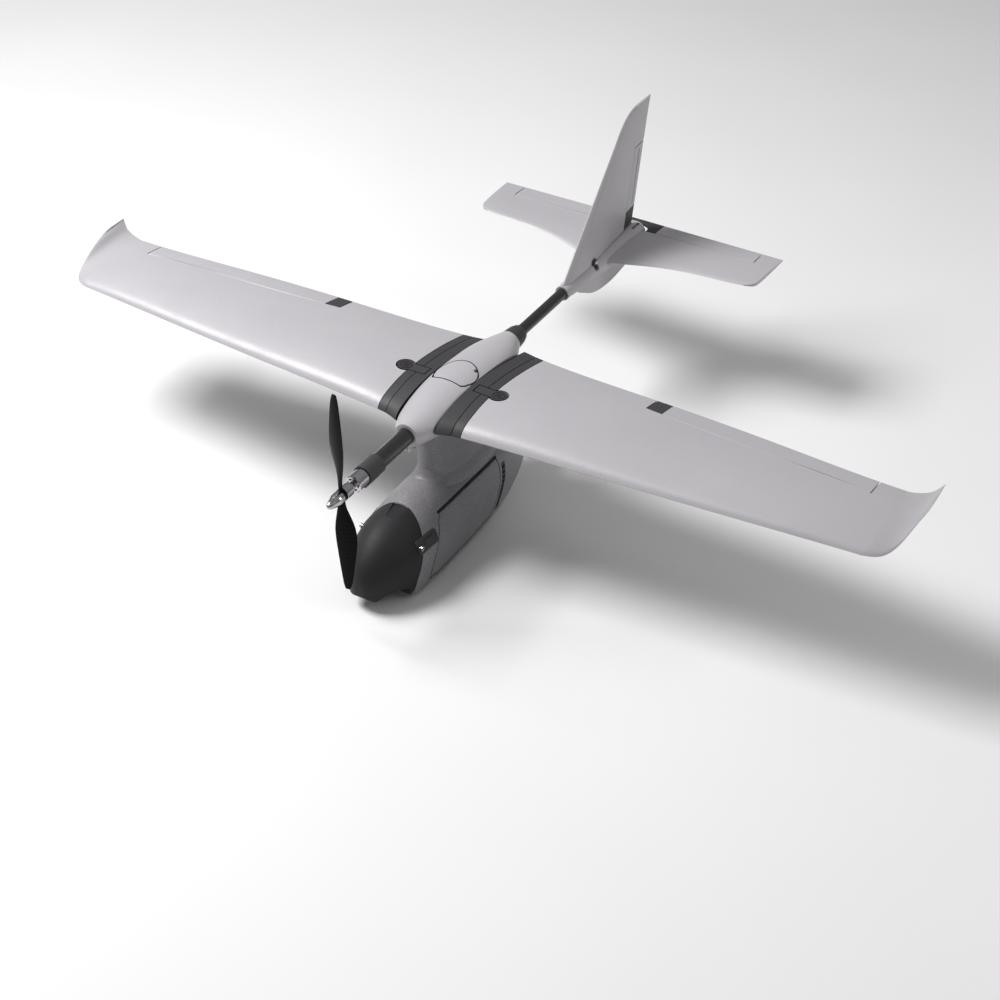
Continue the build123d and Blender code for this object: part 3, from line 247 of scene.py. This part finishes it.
def wound_copper():
    """Enamelled wire laid in rows along the motor's slots, between dark laminations."""
    shader = Shader("copper_winding", Metallic=1.0, Coat_Weight=0.5, Coat_Roughness=0.15)
    x, _, z = shader.split(shader.position)
    round_about = shader.math("ARCTAN2", shader.math("SUBTRACT", z, motor_height), x)
    wires = shader.math("SINE", shader.math("MULTIPLY", round_about, wires_round))
    slots = shader.math("SINE", shader.math("MULTIPLY", round_about, slots_round))
    color = shader.mix(shader.fit(slots, -0.2, 0.1, 0.0, 1.0), lamination, copper)
    rough = shader.fit(shader.noise(800.0), 0.3, 0.7, 0.28, 0.4)
    return shader.finish(color, rough, shader.bump(wires, 0.0002))


def circuit_case(name, color_a, color_b):
    """Small electronics case: brushed lid with ventilation dimples."""
    shader = Shader(name)
    x, y, _ = shader.split(shader.position)
    dimple = shader.cells(330.0)
    brush_line = shader.join(shader.math("MULTIPLY", x, 60.0), shader.math("MULTIPLY", y, 2500.0), 0.0)
    brushed = shader.noise(1.0, 3.0, 0.6, brush_line)
    color = shader.mix(shader.fit(brushed, 0.3, 0.7, 0.0, 1.0), color_a, color_b)
    rough = shader.fit(brushed, 0.3, 0.7, 0.35, 0.5)
    return shader.finish(color, rough, shader.bump(shader.fit(dimple, 0.0, 0.2, 0.0, 1.0), 0.0002))


cell_pitch = 0.0083


def heat_shrink():
    """Shrink film round the battery cells: soft folds and glossy creases."""
    shader = Shader("battery_wrap", Coat_Weight=0.4, Coat_Roughness=0.2)
    x, y, z = shader.split(shader.position)
    stretched = shader.join(*(shader.math("MULTIPLY", part, scale)
                              for part, scale in ((x, 18.0), (y, 60.0), (z, 18.0))))
    folds = shader.noise(1.0, 4.0, 0.6, stretched)
    cell = shader.math("SINE", shader.math("MULTIPLY", z, 2 * math.pi / cell_pitch))
    color = shader.mix(shader.fit(folds, 0.3, 0.7, 0.0, 1.0), (0.01, 0.02, 0.06, 1), (0.02, 0.05, 0.14, 1))
    rough = shader.fit(folds, 0.3, 0.7, 0.25, 0.45)
    height = shader.math("ADD", folds, shader.math("MULTIPLY", cell, 0.3))
    return shader.finish(color, rough, shader.bump(height, 0.0006))


def coated_glass():
    """Camera glass with a violet coating and a dark barrel behind it."""
    shader = Shader("coated_lens", Coat_Weight=1.0, Coat_Roughness=0.02, Specular_IOR_Level=0.8)
    low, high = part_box("camera_lens")
    x, y, z = shader.split(shader.position)
    centre = (low + high) / 2
    square = [shader.math("POWER", shader.math("SUBTRACT", part, middle), 2.0)
              for part, middle in ((x, centre.x), (y, centre.y), (z, centre.z))]
    radius = shader.math("SQRT", shader.math("ADD", shader.math("ADD", square[0], square[1]), square[2]))
    rim = shader.fit(radius, 0.002, 0.012, 0.0, 1.0)
    color = shader.mix(rim, (0.05, 0.02, 0.09, 1), (0.006, 0.007, 0.012, 1))
    dust = shader.noise(1200.0, 2.0, 0.8)
    return shader.finish(color, shader.fit(dust, 0.5, 0.8, 0.03, 0.16), shader.bump(dust, 0.00001))


def rubber():
    shader = Shader("seal_rubber", Specular_IOR_Level=0.3)
    dust = shader.noise(400.0, 4.0, 0.7)
    color = shader.mix(shader.fit(dust, 0.35, 0.75, 0.0, 1.0), grey(0.006), grey(0.022))
    return shader.finish(color, shader.fit(dust, 0.3, 0.7, 0.6, 0.8), shader.bump(dust, 0.0001))


materials = {
    "airframe_grey": moulded("airframe_paint", 0.385, 0.10, 1900.0, 0.00006, 0.42, 0.66, 0.006,
                             edge_width=0.0010, sand=0.06, Coat_Weight=0.12, Coat_Roughness=0.35),
    "trim_dark": moulded("trim_plastic", 0.038, 0.12, 2300.0, 0.00010, 0.52, 0.13, 0.001,
                         sand=0.10, Specular_IOR_Level=0.32),
    "nose_dark": moulded("nose_plastic", 0.018, 0.10, 2100.0, 0.00008, 0.56, 0.10, 0.001,
                         sand=0.12, Specular_IOR_Level=0.22),
    "carbon_tube": twill("carbon_tube", 0.0022, False, 0.008, Coat_Weight=0.6, Coat_Roughness=0.12),
    "carbon_blade": twill("carbon_blade", 0.0032, True, 0.0035, Specular_IOR_Level=0.05),
    "motor_metal": turned_metal("motor_chrome", 0.55, 0.10, 5200.0, 0.000012),
    "steel": turned_metal("bright_steel", 0.62, 0.22, 3800.0, 0.00002),
    "stator": wound_copper(),
    "seal_rubber": rubber(),
    "battery_wrap": heat_shrink(),
    "electronics": circuit_case("avionics_case", (0.02, 0.022, 0.024, 1), (0.05, 0.055, 0.06, 1)),
    "camera_black": moulded("camera_crinkle", 0.018, 0.10, 1300.0, 0.00025, 0.55, 0.06),
    "lens_glass": coated_glass(),
    "servo_case": circuit_case("servo_case", (0.012, 0.012, 0.013, 1), (0.03, 0.03, 0.032, 1)),
    "button_white": moulded("button_plastic", 0.70, 0.04, 2100.0, 0.00004, 0.35, 0.8),
}
slot_of = {row["node"]: row["material_slot"] for row in frame["record"]["subparts"]}
# Painted shade: the pod and its side panels take a darker copy of the airframe grey in place of their
# airframe_grey slot, standing for the shade they sit in.
pod_shaded_grey = moulded("pod_shaded_grey", 0.150, 0.10, 1500.0, 0.00010, 0.46, 0.40, 0.004,
                    edge_width=0.0012, edge_share=0.6, sand=0.5, Coat_Weight=0.1, Coat_Roughness=0.4)
pod_nodes = ("pod_shell", "side_panel_left", "side_panel_right")
for name, piece in nodes.items():
    piece.data.materials.clear()
    piece.data.materials.append(pod_shaded_grey if name in pod_nodes else materials[slot_of[name]])


# ---------------------------------------------------------------- small parts the frame leaves plain

def skin_height(node, x, y):
    """Height of a CAD node's upper surface over a point of the plan."""
    piece = nodes[node]
    tree = BVHTree.FromPolygons([piece.matrix_world @ corner.co for corner in piece.data.vertices],
                                [tuple(face.vertices) for face in piece.data.polygons])
    hit = tree.ray_cast(Vector((x, y, 1.0)), Vector((0, 0, -1)))[0]
    return hit.z


ridge_slot = "nose_dark"


def raised_line(name, node, path, half_width, height, closed=False):
    """A moulded ridge that follows a path in plan over the skin of a node with a body of its name."""
    data = bpy.data.meshes.new(name)
    corners, faces = [], []
    count = len(path)
    for index, (x, y) in enumerate(path):
        before = path[index - 1] if index or closed else path[index]
        after = path[(index + 1) % count] if index + 1 < count or closed else path[index]
        run = Vector((after[0] - before[0], after[1] - before[1], 0)).normalized()
        side = Vector((-run.y, run.x, 0)) * half_width
        base = Vector((x, y, skin_height(node, x, y)))
        lift = Vector((0, 0, height))
        shoulder = side * 0.8
        corners += [base - side - lift, base - shoulder + lift, base + shoulder + lift, base + side - lift]
    rows = count if closed else count - 1
    for index in range(rows):
        here, there = 4 * index, 4 * ((index + 1) % count)
        faces += [(here + k, here + (k + 1) % 4, there + (k + 1) % 4, there + k) for k in range(4)]
    if not closed:
        last = 4 * (count - 1)
        faces += [(3, 2, 1, 0), (last, last + 1, last + 2, last + 3)]
    data.from_pydata(corners, [], faces)
    data.materials.append(materials[ridge_slot])
    ridge = bpy.data.objects.new(name, data)
    bpy.context.scene.collection.objects.link(ridge)
    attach(ridge, node)


latch_pad = (0.101, -0.185)
ring_radius = 0.0115
ring_corners = 40
ring_size = (0.0011, 0.0007)        # half-width and height
grip_half = 0.0065
grip_offsets = (-0.0045, 0.0, 0.0045)
grip_size = (0.0009, 0.0008)
for side_name, flip in (("left", 1), ("right", -1)):
    node = f"wing_latch_{side_name}"
    centre_x, centre_y = flip * latch_pad[0], latch_pad[1]
    ring = [(centre_x + ring_radius * math.cos(turn), centre_y + ring_radius * math.sin(turn))
            for turn in (2 * math.pi * corner / ring_corners for corner in range(ring_corners))]
    raised_line(f"latch_ring_{side_name}", node, ring, *ring_size, closed=True)
    for number, offset in enumerate(grip_offsets):
        bar = [(centre_x + offset, centre_y + share * grip_half) for share in (-1.0, -0.5, 0.0, 0.5, 1.0)]
        raised_line(f"latch_grip_{side_name}_{number + 1}", node, bar, *grip_size)


# ---------------------------------------------------------------- floor, light and camera

def floor_material():
    shader = Shader("studio_floor")
    mottle = shader.noise(2.0, 3.0, 0.5)
    color = shader.mix(mottle, (0.74, 0.74, 0.74, 1.0), (0.77, 0.77, 0.77, 1.0))
    return shader.finish(color, shader.fit(mottle, 0.3, 0.7, 0.6, 0.7), None)


floor_half = 14.0
floor_mesh = bpy.data.meshes.new("studio_floor")
floor_corners = [(x * floor_half, y * floor_half, 0.0) for x, y in ((-1, -1), (1, -1), (1, 1), (-1, 1))]
floor_mesh.from_pydata(floor_corners, [], [(0, 1, 2, 3)])
floor_mesh.materials.append(floor_material())
floor = bpy.data.objects.new("studio_floor", floor_mesh)
bpy.context.scene.collection.objects.link(floor)


light_target = Vector((0, 0, 0.2))


def area_light(name, position, size, power):
    data = bpy.data.lights.new(name, "AREA")
    data.shape = "RECTANGLE"
    data.size, data.size_y = size
    data.energy = power
    lamp = bpy.data.objects.new(name, data)
    lamp.location = position
    lamp.rotation_mode = "QUATERNION"
    lamp.rotation_quaternion = (light_target - Vector(position)).to_track_quat("-Z", "Y")
    bpy.context.scene.collection.objects.link(lamp)


area_light("key_softbox", (-2.2, -0.9, 3.4), (1.6, 1.6), 205.0)
area_light("side_softbox", (3.4, 0.9, 2.0), (1.0, 2.0), 34.0)

world = bpy.data.worlds.new("studio")
world.use_nodes = True
sky = world.node_tree
direction = sky.nodes.new("ShaderNodeTexCoord")
parts = sky.nodes.new("ShaderNodeSeparateXYZ")
ramp = sky.nodes.new("ShaderNodeMapRange")
sky.links.new(direction.outputs["Generated"], parts.inputs[0])
sky.links.new(parts.outputs[2], ramp.inputs["Value"])
# The sky's strength against the height of the direction, from the horizon to nearly overhead.
for socket, value in (("From Min", 0.0), ("From Max", 0.9), ("To Min", 0.16), ("To Max", 0.34)):
    ramp.inputs[socket].default_value = value
sky.nodes["Background"].inputs[0].default_value = (1.0, 1.0, 1.0, 1.0)
sky.links.new(ramp.outputs["Result"], sky.nodes["Background"].inputs[1])
bpy.context.scene.world = world
bpy.context.scene.view_settings.view_transform = "Standard"

camera_data = bpy.data.cameras.new("camera")
camera_data.sensor_width = 36.0
camera_data.lens = 67.78
camera = bpy.data.objects.new("camera", camera_data)
camera.matrix_world = Matrix(((0.85715, -0.31184, 0.40994, 1.5701),
                              (0.51505, 0.52504, -0.67754, -2.6104),
                              (-0.00395, 0.79189, 0.61065, 2.2681),
                              (0, 0, 0, 1)))
bpy.context.scene.collection.objects.link(camera)
bpy.context.scene.camera = camera
